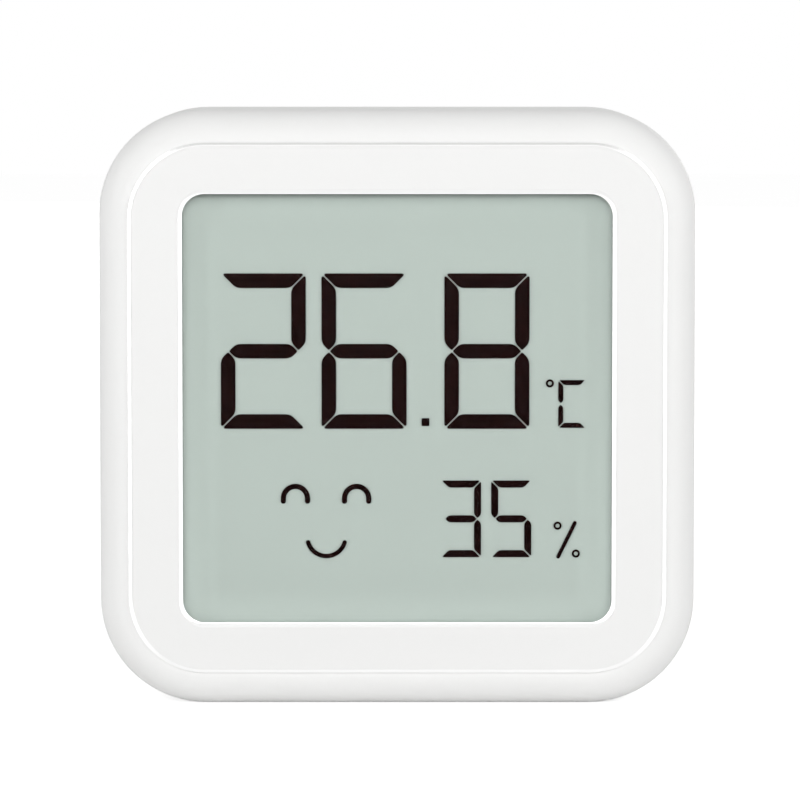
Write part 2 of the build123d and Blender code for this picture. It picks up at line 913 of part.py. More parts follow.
def battery_tray():
    """White tray over the board: plate, skirt, screw pillars, the cell's round well and the pole's sign."""
    tray = slab(board_outline(), tray_plate_front, tray_back)
    inside = RectangleRounded(
        2 * (board_half_width - tray_wall),
        2 * (board_half_height - tray_wall),
        board_corner_radius - tray_wall,
    )
    tray += slab(board_outline() - inside, board_back, tray_back)
    tray += disc(well_outer_radius, well_floor_back - well_floor, tray_back, 0, -well_drop)
    tray -= disc(well_radius, well_floor_back, tray_back + overrun, 0, -well_drop)
    mouth = at_depth(tray_back) * Pos(0, -well_drop) * Circle(well_radius + well_lead_in)
    tray -= extrude(mouth, amount=well_lead_in, taper=45)
    tray -= disc(well_radius - well_ledge, board_back, tray_back, 0, -well_drop)
    within = slab(board_outline(), board_back, tray_back)
    for x, z in corners(boss_x, boss_z):
        tray += disc(pillar_diameter / 2, board_back, tray_back, x, z) & within
        tray -= disc(screw_diameter / 2 + screw_hole_clearance, board_back - overrun, tray_back, x, z)
        tray -= disc(screw_head_diameter / 2 + pillar_clearance, pillar_seat, tray_back + overrun, x, z)
    finger_end = cover_front - finger_length - finger_room
    for place in finger_places():
        pocket = finger_band(place, finger_thickness + finger_room, overrun, finger_room)
        tray -= slab(pocket, finger_end, tray_back + overrun)
    tray -= disc(button_diameter / 2 + button_clearance, board_back, tray_back + overrun, button_x, button_z)
    tray -= slab(contact_notch(), board_back, tray_back + overrun)
    air = band(
        (-board_half_width - overrun, -vent_drop - tray_air_length / 2),
        (-board_half_width + tray_wall, -vent_drop + tray_air_length / 2),
    )
    mark_x = well_outer_radius + tray_mark_gap + tray_mark_size
    mark = plus_sign(tray_mark_size, tray_mark_stroke, mark_x, -well_drop - contact_width - tray_mark_gap)
    tray += slab(mark, tray_back, tray_back + tray_mark_rise)
    return tray - slab(air, board_back - overrun, tray_plate_front)


def tray_screws():
    """Four small screws through tray and board into the bosses."""
    screws = []
    for x, z in corners(boss_x, boss_z):
        head = disc(screw_head_diameter / 2, pillar_seat, pillar_seat + screw_head_height, x, z)
        screw = chamfer(head.edges().group_by(Axis.Y)[-1], screw_head_edge)
        screw += disc(screw_diameter / 2, board_front - screw_bite + screw_fit, pillar_seat, x, z)
        arm = screw_head_diameter - screw_recess_width
        cross = Rectangle(arm, screw_recess_width) + Rectangle(screw_recess_width, arm)
        recess_front = pillar_seat + screw_head_height - screw_recess_depth
        screw -= slab(Pos(x, z) * cross, recess_front, pillar_seat + screw_head_height + overrun)
        screws.append(screw)
    return group(screws)


def bent_strip(path, width, z):
    """Sheet metal of even thickness, bent along a path of x and depth, and this wide up and down."""
    side_view = Plane(
        origin=(0, -body_depth / 2, body_height / 2 + z - width / 2), x_dir=(1, 0, 0), z_dir=(0, 0, 1)
    )
    return extrude(side_view * trace(Polyline(*path), line_width=contact_thickness), amount=width)


def positive_contact():
    """Spring finger that stands on the board and meets the side of the cell."""
    half = contact_thickness / 2
    inner = cell_diameter / 2 + contact_gap + half
    foot = board_back + half
    path = [
        (inner + contact_foot, foot),
        (inner + contact_lead_in, foot),
        (inner + contact_lead_in, foot + contact_rise / 2),
        (inner, foot + contact_rise),
        (inner, cell_back - contact_lead_in),
        (inner + contact_lead_in, cell_back),
    ]
    return bent_strip(path, contact_width, -well_drop)


def negative_contact():
    """Leaf spring on the board that meets the middle of the cell's cap."""
    half = contact_thickness / 2
    foot = board_back + half
    crest = cell_front - contact_gap - half
    path = [
        (-leaf_reach, foot),
        (-leaf_reach + leaf_foot, foot),
        (leaf_reach - leaf_tip, crest),
        (leaf_reach, crest - leaf_tip_drop),
    ]
    return bent_strip(path, contact_width, -well_drop)


def cell_disc(radius, front, back):
    """A round layer of the coin cell."""
    return disc(radius, front, back, 0, -well_drop)


def plus_sign(size, stroke, x, z):
    """The outline of a plus sign about a point."""
    return Pos(x, z) * (Rectangle(size, stroke) + Rectangle(stroke, size))


def cell_can():
    """Steel can: base and side of the cell, open towards the cap, with the pole's sign pressed in."""
    can = cell_disc(cell_diameter / 2, cell_front + cell_cap_step, cell_back)
    can = fillet(can.edges().group_by(Axis.Y)[-1], cell_edge_radius)
    can -= cell_disc(cell_seal_radius, cell_front - overrun, cell_filling_back)
    mark = plus_sign(cell_mark_size, cell_mark_stroke, 0, -well_drop)
    return can - slab(mark, cell_back - cell_mark_depth, cell_back + overrun)


def cell_gasket():
    """Plastic ring between can and cap."""
    seal = ring(cell_seal_radius, cell_skirt_radius, 0, -well_drop)
    return slab(seal, cell_front + cell_cap_step, cell_filling_back)


def cell_cap():
    """Steel cap: the flat pole that faces the board, with its skirt inside the seal."""
    skirt = ring(cell_skirt_radius, cell_skirt_radius - cell_metal, 0, -well_drop)
    cap = cell_disc(cell_skirt_radius - cell_cap_margin, cell_front, cell_front + cell_metal)
    cap += slab(skirt, cell_front + cell_cap_step, cell_filling_back - separator_thickness)
    return cap + cell_disc(cell_skirt_radius, cell_front + cell_cap_step, cell_filling_front)


def cell_cathode():
    """Pressed pellet on the base of the can."""
    return cell_disc(cell_filling_radius, cathode_front, cell_filling_back)


def cell_separator():
    """Thin disc between pellet and metal."""
    return cell_disc(cell_filling_radius, cathode_front - separator_thickness, cathode_front)


def cell_anode():
    """Disc of soft metal behind the cap."""
    return cell_disc(cell_filling_radius, cell_filling_front, cathode_front - separator_thickness)


def back_cover():
    """Push-on cover: plate, snap fingers, the ring that steadies the cell, and the button's hole."""
    half_width = body_width / 2 - cover_rim - cover_gap
    half_height = body_height / 2 - cover_rim - cover_gap
    outline = RectangleRounded(2 * half_width, 2 * half_height, body_corner_radius - cover_rim - cover_gap)
    cover = slab(outline, cover_front, body_depth)
    cover = chamfer(cover.edges().group_by(Axis.Y)[-1], cover_edge)
    for place in finger_places():
        finger = finger_band(place, finger_thickness, 0)
        cover += slab(finger, cover_front - finger_length, cover_front)
        cover += snap_ridge(place)
    rib_radius = cell_rib_diameter / 2
    rib = ring(rib_radius, rib_radius - cell_rib_wall, 0, -well_drop)
    cover += slab(rib, cell_back + cell_rib_gap, cover_front)
    hole = button_diameter / 2 + button_clearance
    mouth = at_depth(body_depth) * Pos(button_x, button_z) * Circle(hole + cover_edge)
    cover -= extrude(mouth, amount=cover_edge, taper=45)
    return cover - disc(hole, cover_front - overrun, body_depth + overrun, button_x, button_z)


def snap_ridge(place):
    """The half-round ridge across the outside of a snap finger."""
    x, z, _, out_z = place
    along = Rot(0, 90 * abs(out_z), 0)
    spot = Pos(x, snap_depth - body_depth / 2, body_height / 2 + z)
    return spot * along * Cylinder(snap_bump, finger_width)


nodes = {
    "front_shell": front_shell(),
    "lens_tape": slab(window_frame(), lens_tape_front, lens_front),
    "display_window": slab(glass_outline(glass_half_height), lens_front, gasket_front),
    "display_gasket": slab(window_frame(), gasket_front, front_polariser_front),
    "front_polariser": polariser(front_polariser_front),
    "front_glass": slab(glass_outline(glass_foot), front_glass_front, cell_layer_front),
    "edge_seal": edge_seal(),
    "temperature_digits": temperature_digits(),
    "temperature_unit": temperature_unit(),
    "humidity_digits": humidity_digits(),
    "percent_sign": percent_sign(),
    "comfort_face": comfort_face(),
    "rear_glass": slab(
        glass_outline(glass_half_height), rear_glass_front, rear_glass_front + glass_thickness
    ),
    "rear_polariser": polariser(rear_polariser_front),
    "display_frame": display_frame(),
    "connector_strip": connector_strip(),
    "connector_pads": connector_pads(),
    "main_board": main_board(),
    "radio_chip": block_on_board(radio_x, radio_z, radio_chip_size, radio_chip_size, radio_chip_height),
    "display_driver": block_on_board(driver_x, radio_z, driver_size, driver_size, driver_height),
    "driver_leads": driver_leads(),
    "crystal": block_on_board(crystal_x, radio_z, crystal_length, crystal_width, crystal_height),
    "chip_capacitors": group(
        chip_body(place, capacitor_length, capacitor_width, capacitor_height, 90)
        for place in capacitor_places()
    ),
    "chip_resistors": group(
        chip_body(place, resistor_length, resistor_width, resistor_height) for place in resistor_places()
    ),
    "bulk_capacitor": chip_body(
        board_place(bulk_capacitor_place_share),
        bulk_capacitor_length,
        bulk_capacitor_width,
        bulk_capacitor_height,
        90,
    ),
    "chip_terminals": chip_terminals(),
    "printed_antenna": printed_antenna(),
    "test_pads": test_pads(),
    "sensor_chip": sensor_chip(),
    "sensor_filter": sensor_filter(),
    "switch_body": switch_body(),
    "switch_cover": switch_cover(),
    "switch_plunger": switch_plunger(),
    "button_cap": button_cap(),
    "negative_contact": negative_contact(),
    "positive_contact": positive_contact(),
    "battery_tray": battery_tray(),
    "tray_screws": tray_screws(),
    "cell_can": cell_can(),
    "cell_gasket": cell_gasket(),
    "cell_cap": cell_cap(),
    "cell_cathode": cell_cathode(),
    "cell_separator": cell_separator(),
    "cell_anode": cell_anode(),
    "back_cover": back_cover(),
}

os.makedirs("parts", exist_ok=True)
for name, shape in nodes.items():
    export_step(shape, f"parts/{name}.step")
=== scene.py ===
"""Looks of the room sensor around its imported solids: finishes, studio and camera.

Metres, in the same frame as the solids: +Z is up and the display faces -Y.
"""

from math import cos, pi, radians, sin

import bpy
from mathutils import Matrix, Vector


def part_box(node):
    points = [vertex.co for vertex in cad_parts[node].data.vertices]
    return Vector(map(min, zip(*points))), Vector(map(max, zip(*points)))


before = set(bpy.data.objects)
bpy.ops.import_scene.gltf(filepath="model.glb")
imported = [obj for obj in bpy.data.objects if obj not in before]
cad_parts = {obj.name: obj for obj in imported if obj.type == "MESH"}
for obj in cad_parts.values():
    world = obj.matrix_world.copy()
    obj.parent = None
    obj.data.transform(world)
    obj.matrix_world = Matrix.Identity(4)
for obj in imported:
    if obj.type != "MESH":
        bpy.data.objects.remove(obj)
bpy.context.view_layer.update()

MM = 0.001

# Camera, set to the photograph's viewing angle
VIEW_HEIGHT = 21.5 * MM
VIEW_DISTANCE = 350 * MM
VIEW_ELEVATION = radians(4.55)
LENS_LENGTH = 215.4
SENSOR_WIDTH = 36.0
NEAREST_SEEN = 10 * MM
SHIFT_RIGHT = 0.0034
SHIFT_UP = 0.0031

# The case: its flat face, how far the slopes step back from it, and a line between the two slopes
FACE_PLACE = -6.25 * MM
SLOPE_STEP = 0.35 * MM
BETWEEN_SLOPES = 17.0 * MM
EDGE_RADIUS = 0.1 * MM

# Half the width of the display's visible square, and how far in from its rim painted light makes the
# reflector paler
VIEW_HALF = 15.45 * MM
RIM_REACH = 2.75 * MM

# Width of the thin shades along the upper edge and the sides of that square
TOP_SHADE = 0.45 * MM
SIDE_SHADE = 0.14 * MM

# Spacing of the copper tracks on the board and of the layers in the elastomer strip
TRACK_SPACING = 0.55 * MM
STRIP_SPACING = 0.2 * MM

WHITE = (1.0, 1.0, 1.0, 1.0)
TOWARDS_VIEWER = (0.0, -1.0, 0.0)

# Studio
ROOM_LIGHT = 0.63
CEILING_LIGHT = 0.33
FLOOR_SIZE = 2.4
FLOOR_COLOUR = (0.84, 0.84, 0.84, 1.0)
FLOOR_GLOW = 0.62
AIM = Vector((0.0, 0.0, VIEW_HEIGHT))


def screen(red, green, blue):
    """A screen colour, 0 to 255, as the linear colour that a shader takes."""
    linear = []
    for value in (red, green, blue):
        share = value / 255
        linear.append(share / 12.92 if share <= 0.04045 else ((share + 0.055) / 1.055) ** 2.4)
    return (*linear, 1.0)


class Tree:
    """A node tree, with short calls that add a node and join it to others."""

    def __init__(self, tree):
        self.tree = tree
        tree.nodes.clear()

    def feed(self, socket, value):
        """Joins a socket to another, or sets its plain value."""
        if isinstance(value, bpy.types.NodeSocket):
            self.tree.links.new(value, socket)
        else:
            socket.default_value = value

    def node(self, kind, inputs=None, **settings):
        """Adds a node with its settings and what feeds its inputs."""
        made = self.tree.nodes.new(kind)
        for name, value in settings.items():
            setattr(made, name, value)
        for name, value in (inputs or {}).items():
            self.feed(made.inputs[name], value)
        return made

    def maths(self, operation, first, second=0.0):
        """The result of a sum on one or two values."""
        return self.node("ShaderNodeMath", {0: first, 1: second}, operation=operation).outputs[0]

    def product(self, first, *others):
        """Two or more values multiplied together."""
        for value in others:
            first = self.maths("MULTIPLY", first, value)
        return first

    def total(self, first, *others):
        """Two or more values added up."""
        for value in others:
            first = self.maths("ADD", first, value)
        return first

    def less(self, first, second):
        """The first value less the second."""
        return self.maths("SUBTRACT", first, second)

    def between(self, value, low, high, start=0.0, end=1.0):
        """A value stretched from one range to another, and held inside it."""
        return self.node(
            "ShaderNodeMapRange", {0: value, 1: low, 2: high, 3: start, 4: end}
        ).outputs[0]

    def tint(self, share, first, second):
        """Two colours mixed by a share."""
        mixed = self.node("ShaderNodeMix", {0: share, 6: first, 7: second}, data_type="RGBA")
        return mixed.outputs[2]

    def shaded(self, colour, strength):
        """A colour made lighter or darker by a factor."""
        given = colour if isinstance(colour, bpy.types.NodeSocket) else colour[:3]
        return self.node("ShaderNodeVectorMath", {0: given, "Scale": strength}, operation="SCALE").outputs[0]

    def turned_to(self, normal, way, share):
        """A normal turned part of the way to another direction."""
        mixed = self.node("ShaderNodeMix", {0: share, 4: normal, 5: way}, data_type="VECTOR").outputs[1]
        return self.node("ShaderNodeVectorMath", {0: mixed}, operation="NORMALIZE").outputs[0]

    def noise(self, place, fineness, detail=2.0, roughness=0.5):
        """Soft noise, 0 to 1, at so many waves a metre."""
        return self.node(
            "ShaderNodeTexNoise",
            {"Vector": place, "Scale": fineness, "Detail": detail, "Roughness": roughness},
        ).outputs["Fac"]

    def use(self, group, **inputs):
        """Places a shared effect with its own values, and returns its outputs."""
        plain = {name.replace("_", " "): value for name, value in inputs.items()}
        return self.node("ShaderNodeGroup", plain, node_tree=group).outputs


SOCKETS = {"colour": "NodeSocketColor", "value": "NodeSocketFloat", "vector": "NodeSocketVector"}


def start_effect(name, inputs, outputs):
    """An empty shared effect: its tree, what it is given, and the outputs to fill."""
    group = bpy.data.node_groups.new(name, "ShaderNodeTree")
    for label, (kind, value) in inputs.items():
        socket = group.interface.new_socket(name=label, in_out="INPUT", socket_type=SOCKETS[kind])
        socket.default_value = value
    for label, kind in outputs.items():
        group.interface.new_socket(name=label, in_out="OUTPUT", socket_type=SOCKETS[kind])
    tree = Tree(group)
    given = tree.node("NodeGroupInput").outputs
    result = tree.node("NodeGroupOutput").inputs
    return group, tree, given, result


def moulded_skin_effect():
    """Moulded plastic: fine eroded grain, and faint clouds in its colour and gloss."""
    group, tree, given, result = start_effect(
        "moulded_skin",
        {
            "Colour": ("colour", (0.8, 0.8, 0.8, 1.0)),
            "Roughness": ("value", 0.4),
            "Grain Size": ("value", 0.1 * MM),
            "Clouds": ("value", 0.01),
        },
        {"Colour": "colour", "Roughness": "value", "Height": "value"},
    )
    place = tree.node("ShaderNodeTexCoord").outputs["Object"]
    fineness = tree.maths("DIVIDE", 1.0, given["Grain Size"])
    grain = tree.noise(place, fineness, 2.0, 0.55)
    pits = tree.node(
        "ShaderNodeTexVoronoi",
        {"Vector": place, "Scale": tree.product(fineness, 0.6)},
        feature="SMOOTH_F1",
    ).outputs["Distance"]
    clouds = tree.less(tree.noise(place, 110.0, 3.0, 0.6), 0.5)
    speck = tree.product(tree.less(grain, 0.5), 0.012)
    shade = tree.total(1.0, tree.product(clouds, given["Clouds"]), speck)
    colour = tree.shaded(given["Colour"], shade)
    gloss = tree.product(tree.less(grain, 0.5), 0.10)
    tree.feed(result["Colour"], colour)
    tree.feed(result["Roughness"], tree.total(given["Roughness"], gloss, tree.product(clouds, 0.12)))
    tree.feed(result["Height"], tree.total(grain, tree.product(pits, 0.6)))
    return group


def soft_edges_effect():
    """The small radius that every moulded or pressed edge has, and a mask of where it is."""
    group, tree, given, result = start_effect(
        "soft_edges",
        {"Sharpness": ("value", 1.0)},
        {"Normal": "vector", "Edge": "value"},
    )
    rounded = tree.node("ShaderNodeBevel", {"Radius": EDGE_RADIUS}, samples=6).outputs["Normal"]
    flat = tree.node("ShaderNodeNewGeometry").outputs["Normal"]
    agree = tree.node("ShaderNodeVectorMath", {0: rounded, 1: flat}, operation="DOT_PRODUCT")
    turned = tree.less(1.0, agree.outputs["Value"])
    tree.feed(result["Normal"], rounded)
    tree.feed(result["Edge"], tree.between(tree.product(turned, given["Sharpness"]), 0.0, 0.12))
    return group


def painted_bevel_light_effect():
    """Slopes round the flat face and the window: masks for a painted highlight on them and a painted shade
    at the outer slope's foot.

    Bright is where the highlight is painted, Shade where the foot's shade is painted, Turn how far they face
    the front.
    """
    group, tree, given, result = start_effect(
        "painted_bevel_light",
        {
            "Front": ("value", FACE_PLACE),
            "Step": ("value", SLOPE_STEP),
            "Middle Height": ("value", VIEW_HEIGHT),
            "Window Reach": ("value", BETWEEN_SLOPES),
            "Least": ("value", 0.2),
        },
        {"Bright": "value", "Shade": "value", "Turn": "value"},
    )
    place = tree.node("ShaderNodeTexCoord").outputs["Object"]
    axes = tree.node("ShaderNodeSeparateXYZ", {0: place}).outputs
    normal = tree.node("ShaderNodeNewGeometry").outputs["True Normal"]
    facing = tree.node("ShaderNodeSeparateXYZ", {0: normal}).outputs

    # How far back on the slope, 0 at the flat face to 0.86 at its foot, and where the slope is
    level = tree.maths("DIVIDE", tree.less(axes["Y"], given["Front"]), given["Step"])
    behind_face = tree.between(level, 0.0, 0.06)
    before_foot = tree.between(level, 0.86, 0.96, 1.0, 0.0)
    slope = tree.product(behind_face, before_foot, tree.between(facing["Y"], -0.95, -0.85))
    across = tree.maths("ABSOLUTE", axes["X"])
    rise = tree.maths("ABSOLUTE", tree.less(axes["Z"], given["Middle Height"]))
    outer = tree.maths("GREATER_THAN", tree.maths("MAXIMUM", across, rise), given["Window Reach"])
    inner = tree.less(1.0, outer)

    # 1 on the slopes at the left and right, 0 on those above and below
    sideways = tree.between(tree.maths("ABSOLUTE", facing["X"]), 0.12, 0.62)
    upright = tree.less(1.0, tree.between(sideways, 0.0, 0.45))
    below = tree.maths("LESS_THAN", facing["Z"], 0.0)

    # Outer slope: painted highlight at the sides, as light as the face above and below, with a painted shade
    # at its foot there
    foot_start = tree.between(below, 0.0, 1.0, 0.36, 0.70)
    foot = tree.between(tree.less(level, foot_start), 0.0, 0.12)
    shade = tree.product(slope, upright, outer, foot)
    depth = tree.between(below, 0.0, 1.0, 1.0, 0.5)
    outer_least = tree.maths("MAXIMUM", sideways, tree.between(below, 0.0, 1.0, given["Least"], 0.55))

    # Its painted highlight starts at the face in the lower corners, and a little behind the face elsewhere
    front_start = tree.between(facing["Z"], -0.35, 0.0, -0.1, 0.12)
    front_edge = tree.between(tree.less(level, front_start), 0.0, 0.1)
    outer_bright = tree.product(outer_least, front_edge)

    # Inner slope: painted highlight at the sides, and only at its back edge above and below
    edge_start = tree.between(sideways, 0.0, 1.0, 0.62, 0.08)
    inner_edge = tree.between(tree.less(level, edge_start), 0.0, 0.1)
    inner_bright = tree.maths("MAXIMUM", inner_edge, given["Least"])
    either = tree.total(tree.product(outer, outer_bright), tree.product(inner, inner_bright))
    bright = tree.product(slope, either, tree.less(1.0, shade))
    turned = tree.less(slope, tree.product(bright, 0.35))
    tree.feed(result["Bright"], bright)
    tree.feed(result["Shade"], tree.product(shade, depth))
    tree.feed(result["Turn"], tree.less(turned, shade))
    return group


def settled_dust_effect():
    """Dust that stays in corners and along steps."""
    group, tree, given, result = start_effect(
        "settled_dust",
        {"Amount": ("value", 0.3), "Reach": ("value", 0.6 * MM)},
        {"Mask": "value"},
    )
    openness = tree.node(
        "ShaderNodeAmbientOcclusion", {"Distance": given["Reach"]}, samples=6
    ).outputs["AO"]
    place = tree.node("ShaderNodeTexCoord").outputs["Object"]
    patches = tree.between(tree.noise(place, 900.0, 4.0, 0.7), 0.35, 0.75)
    corners = tree.between(openness, 0.45, 0.95, 1.0, 0.0)
    tree.feed(result["Mask"], tree.product(corners, patches, given["Amount"]))
    return group


def drawn_metal_effect():
    """Rolled or pressed metal: fine lines one way, small scratches and dull clouds."""
    group, tree, given, result = start_effect(
        "drawn_metal",
        {
            "Colour": ("colour", (0.7, 0.7, 0.7, 1.0)),
            "Roughness": ("value", 0.3),
            "Line Stretch": ("vector", (1.0, 1.0, 12.0)),
        },
        {"Colour": "colour", "Roughness": "value", "Height": "value"},
    )
    place = tree.node("ShaderNodeTexCoord").outputs["Object"]
    stretched = tree.node("ShaderNodeVectorMath", {0: place, 1: given["Line Stretch"]}, operation="MULTIPLY")
    lines = tree.noise(stretched.outputs[0], 3500.0, 3.0, 0.6)
    turned = tree.node(
        "ShaderNodeMapping", {"Vector": place, "Rotation": (0.4, 0.7, 0.5), "Scale": (1, 1, 14)}
    )
    scratches = tree.between(tree.noise(turned.outputs[0], 1500.0, 2.0), 0.66, 0.74)
    clouds = tree.noise(place, 500.0, 3.0)
    dark = tree.product(tree.less(lines, 0.5), 0.25)
    shade = tree.total(1.0, tree.less(dark, tree.product(scratches, 0.12)))
    colour = tree.shaded(given["Colour"], shade)
    dull = tree.product(tree.less(clouds, 0.4), 0.30)
    lined = tree.product(lines, 0.12)
    scratched = tree.product(scratches, 0.15)
    tree.feed(result["Colour"], colour)
    tree.feed(result["Roughness"], tree.total(given["Roughness"], dull, lined, scratched))
    tree.feed(result["Height"], tree.less(lines, tree.product(scratches, 0.8)))
    return group


def speckled_mix_effect():
    """A pressed or fired mix: grains of a second colour in the first."""
    group, tree, given, result = start_effect(
        "speckled_mix",
        {
            "Colour": ("colour", (0.1, 0.1, 0.1, 1.0)),
            "Speck Colour": ("colour", (0.3, 0.3, 0.3, 1.0)),
            "Speck Size": ("value", 0.05 * MM),
            "Speck Share": ("value", 0.2),
        },
        {"Colour": "colour", "Height": "value"},
    )
    place = tree.node("ShaderNodeTexCoord").outputs["Object"]
    fineness = tree.maths("DIVIDE", 1.0, given["Speck Size"])
    grains = tree.node("ShaderNodeTexVoronoi", {"Vector": place, "Scale": fineness}).outputs
    random = tree.node("ShaderNodeSeparateColor", {"Color": grains["Color"]}).outputs[0]
    chosen = tree.maths("LESS_THAN", random, given["Speck Share"])
    tree.feed(result["Colour"], tree.tint(chosen, given["Colour"], given["Speck Colour"]))
    tree.feed(result["Height"], tree.total(grains["Distance"], tree.noise(place, 2500.0)))
    return group


moulded_skin = moulded_skin_effect()
soft_edges = soft_edges_effect()
painted_bevel_light = painted_bevel_light_effect()
settled_dust = settled_dust_effect()
drawn_metal = drawn_metal_effect()
speckled_mix = speckled_mix_effect()


def start_material(name):
    """A material with an empty tree."""
    material = bpy.data.materials.new(name)
    material.use_nodes = True
    return material, Tree(material.node_tree)


def show(tree, shader):
    """Makes a shader the material's surface."""
    tree.node("ShaderNodeOutputMaterial", {"Surface": shader.outputs[0]})


def moulded_plastic(name, colour, roughness, grain_size, grain_depth, clouds=0.012, dust=0.0, bevel=0.0):
    """White or coloured moulded plastic with soft edges lightened as a painted highlight, a fine grain and a
    little dust in its corners.
    """
    material, tree = start_material(name)
    skin = tree.use(
        moulded_skin, Colour=colour, Roughness=roughness, Grain_Size=grain_size, Clouds=clouds
    )
    edges = tree.use(soft_edges)
    # Painted highlight: the rounded edges lightened towards white
    edge_highlight_white = (0.97, 0.97, 0.97, 1.0)
    shown = tree.tint(tree.product(edges["Edge"], 0.5), skin["Colour"], edge_highlight_white)
    if dust:
        dust_colour = screen(150, 146, 138)
        shown = tree.tint(tree.use(settled_dust, Amount=dust)["Mask"], shown, dust_colour)
    rough = skin["Roughness"]
    metallic = 0.0
    if bevel:
        # Painted highlight on the slopes, white and metallic, and painted shade at the outer slope's foot
        slopes = tree.use(painted_bevel_light)
        shown = tree.tint(slopes["Bright"], shown, WHITE)
        foot_colour = screen(90, 90, 90)
        shown = tree.tint(tree.product(slopes["Shade"], 0.14), shown, foot_colour)
        rough = tree.less(rough, tree.product(slopes["Bright"], 0.15))
        metallic = tree.product(slopes["Bright"], bevel)

        # Duller where the rounded edge turns away
        rim = tree.between(tree.node("ShaderNodeLayerWeight").outputs["Facing"], 0.66, 1.0, 0.0, 0.9)
        rough = tree.total(rough, tree.product(rim, 0.5))
    normal = tree.node(
        "ShaderNodeBump",
        {"Height": skin["Height"], "Normal": edges["Normal"], "Strength": 0.35, "Distance": grain_depth},
    ).outputs[0]
    if bevel:
        normal = tree.turned_to(normal, TOWARDS_VIEWER, slopes["Turn"])
    shader = tree.node(
        "ShaderNodeBsdfPrincipled",
        {
            "Base Color": shown,
            "Metallic": metallic,
            "Roughness": rough,
            "Normal": normal,
            "IOR": 1.49,
            "Specular IOR Level": 0.3,
        },
    )
    show(tree, shader)
    return material


def clear_sheet(name, tint, roughness, bend, haze):
    """Clear window or glass: lamps shine through it, and a faint haze lies on it."""
    material, tree = start_material(name)
    place = tree.node("ShaderNodeTexCoord").outputs["Object"]
    smears = tree.between(tree.noise(place, 160.0, 4.0, 0.6), 0.45, 0.8, 0.0, haze)
    glass = tree.node(
        "ShaderNodeBsdfPrincipled",
        {
            "Base Color": tint,
            "Roughness": tree.total(roughness, smears),
            "IOR": bend,
            "Transmission Weight": 1.0,
        },
    )
    through = tree.node("ShaderNodeBsdfTransparent", {"Color": tint})
    rays = tree.node("ShaderNodeLightPath").outputs
    passing = tree.maths("MAXIMUM", rays["Is Shadow Ray"], rays["Is Diffuse Ray"])
    mixed = tree.node("ShaderNodeMixShader", {0: passing, 1: glass.outputs[0], 2: through.outputs[0]})
    show(tree, mixed)
    return material


def reflector_film(name, colour, painted_rim_light):
    """The grey-green reflector behind the display's marks: a fine pearly grain, painted light towards its
    rim and painted shade in thin bands at the opening's edges.
    """
    material, tree = start_material(name)
    place = tree.node("ShaderNodeTexCoord").outputs["Object"]
    turned = tree.node("ShaderNodeMapping", {"Vector": place, "Rotation": (0.5, 0.3, 0.6)}).outputs[0]
    pearl = tree.noise(turned, 4300.0, 2.0, 0.6)
    drift = tree.noise(place, 45.0, 2.0)
    fine_shade = tree.between(pearl, 0.3, 0.7, 0.992, 1.008)
    wide_shade = tree.between(drift, 0.3, 0.7, -0.003, 0.003)
    axes = tree.node("ShaderNodeSeparateXYZ", {0: place}).outputs
    # Painted light: the film paler towards its rim, more at the lower sides, lifting the shade that the
    # opening's edges cast
    top = VIEW_HEIGHT + VIEW_HALF
    bottom = VIEW_HEIGHT - VIEW_HALF
    side_rim = tree.between(tree.maths("ABSOLUTE", axes["X"]), VIEW_HALF - RIM_REACH, VIEW_HALF)
    top_rim = tree.between(axes["Z"], top - RIM_REACH, top)
    bottom_rim = tree.between(axes["Z"], bottom + RIM_REACH, bottom)
    lower_more = tree.between(axes["Z"], top, bottom, 0.75, 1.3)
    at_sides = tree.product(tree.maths("POWER", side_rim, 1.2), lower_more)
    at_top = tree.product(tree.maths("POWER", top_rim, 1.8), 0.4)
    at_bottom = tree.product(tree.maths("POWER", bottom_rim, 1.8), 0.85)
    lift = tree.product(tree.total(at_sides, at_top, at_bottom), painted_rim_light)

    # The thin shade under the upper edge of the opening, and a thinner one at its sides
    upper_shade = tree.maths("POWER", tree.between(axes["Z"], top - TOP_SHADE, top), 1.6)
    side_edge = VIEW_HALF + SIDE_SHADE / 2
    side_shade = tree.between(tree.maths("ABSOLUTE", axes["X"]), side_edge - SIDE_SHADE, side_edge)
    rim_shade = tree.maths("MAXIMUM", tree.product(upper_shade, 0.6), tree.product(side_shade, 0.4))
    strength = tree.product(tree.total(fine_shade, wide_shade, lift), tree.less(1.0, rim_shade))
    scaled = tree.shaded(colour, strength)
    shader = tree.node(
        "ShaderNodeBsdfPrincipled",
        {
            "Base Color": scaled,
            "Roughness": tree.between(pearl, 0.3, 0.7, 0.48, 0.62),
            "Specular IOR Level": 0.2,
        },
    )
    show(tree, shader)
    return material


def dark_liquid(name, colour):
    """The display's dark marks: near black, a touch lighter where the liquid is thin."""
    material, tree = start_material(name)
    place = tree.node("ShaderNodeTexCoord").outputs["Object"]
    depth = tree.between(tree.noise(place, 700.0, 3.0), 0.3, 0.7, 0.85, 1.15)
    scaled = tree.shaded(colour, depth)
    shader = tree.node(
        "ShaderNodeBsdfPrincipled",
        {
            "Base Color": scaled,
            "Roughness": tree.between(depth, 0.85, 1.15, 0.5, 0.7),
            "Specular IOR Level": 0.02,
        },
    )
    show(tree, shader)
    return material


def plated_metal(name, colour, roughness, stretch=(1.0, 1.0, 12.0), depth=0.004 * MM):
    """Plated or rolled metal with soft, brighter edges."""
    material, tree = start_material(name)
    metal = tree.use(drawn_metal, Colour=colour, Roughness=roughness, Line_Stretch=stretch)
    edges = tree.use(soft_edges)
    bright = tree.tint(tree.product(edges["Edge"], 0.6), metal["Colour"], (0.9, 0.9, 0.89, 1.0))
    bump = tree.node(
        "ShaderNodeBump",
        {"Height": metal["Height"], "Normal": edges["Normal"], "Strength": 0.4, "Distance": depth},
    )
    shader = tree.node(
        "ShaderNodeBsdfPrincipled",
        {
            "Base Color": bright,
            "Metallic": 1.0,
            "Roughness": metal["Roughness"],
            "Normal": bump.outputs[0],
        },
    )
    show(tree, shader)
    return material


